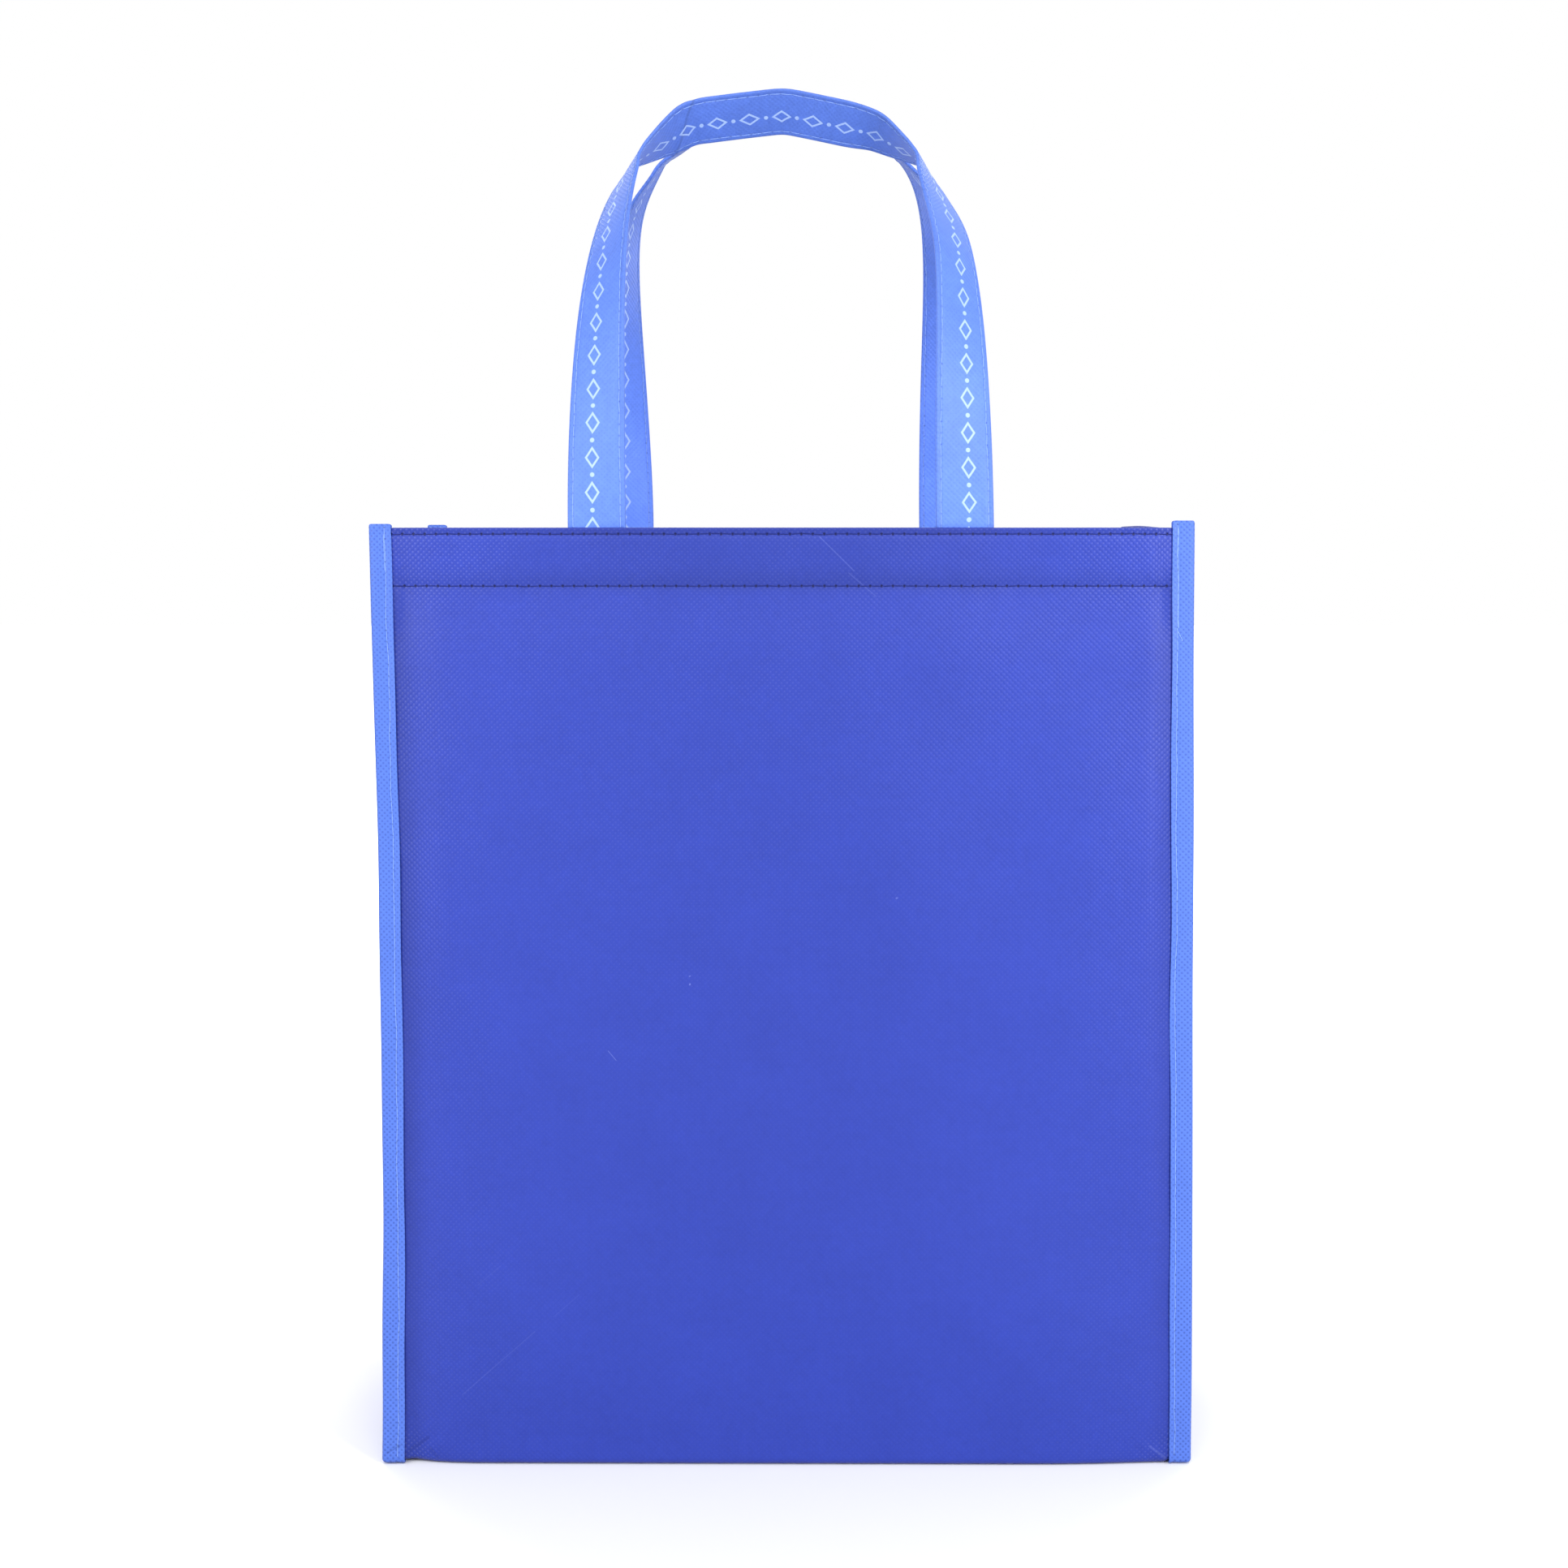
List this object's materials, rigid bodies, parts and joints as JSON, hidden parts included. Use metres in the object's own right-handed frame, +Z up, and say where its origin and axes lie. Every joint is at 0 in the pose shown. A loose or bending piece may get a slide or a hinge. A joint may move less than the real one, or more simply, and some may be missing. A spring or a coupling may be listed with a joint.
{
  "type": "non-woven shopping bag",
  "caption": "Open-topped shopping bag sewn from embossed non-woven cloth: folded main panel, side gussets, taped seams and twisted strap handles. Stands on its base.",
  "frame": {"origin": "on the floor, under the middle of the base", "axes": "+Z up from the base to the mouth, the front faces -Y, +X to the right as seen from the front"},
  "size_m": [0.355, 0.153, 0.6035],
  "materials": {
    "panel_cloth": "matte, embossed with a lattice of dots",
    "trim_cloth": "matte, embossed with a lattice of dots",
    "hem_thread": "spun thread",
    "trim_thread": "spun thread"
  },
  "bodies": {
    "root": {"main_panel": "panel_cloth", "left_gusset": "panel_cloth", "right_gusset": "panel_cloth", "left_binding": "trim_cloth", "right_binding": "trim_cloth", "front_handle": "trim_cloth", "back_handle": "trim_cloth", "front_hem_thread_upper": "hem_thread", "front_hem_thread_lower": "hem_thread", "back_hem_thread_upper": "hem_thread", "back_hem_thread_lower": "hem_thread", "left_gusset_thread_upper": "hem_thread", "left_gusset_thread_lower": "hem_thread", "right_gusset_thread_upper": "hem_thread", "right_gusset_thread_lower": "hem_thread", "left_binding_thread": "trim_thread", "right_binding_thread": "trim_thread", "front_handle_thread_inner": "trim_thread", "front_handle_thread_outer": "trim_thread", "back_handle_thread_inner": "trim_thread", "back_handle_thread_outer": "trim_thread"}
  },
  "joints": []
}
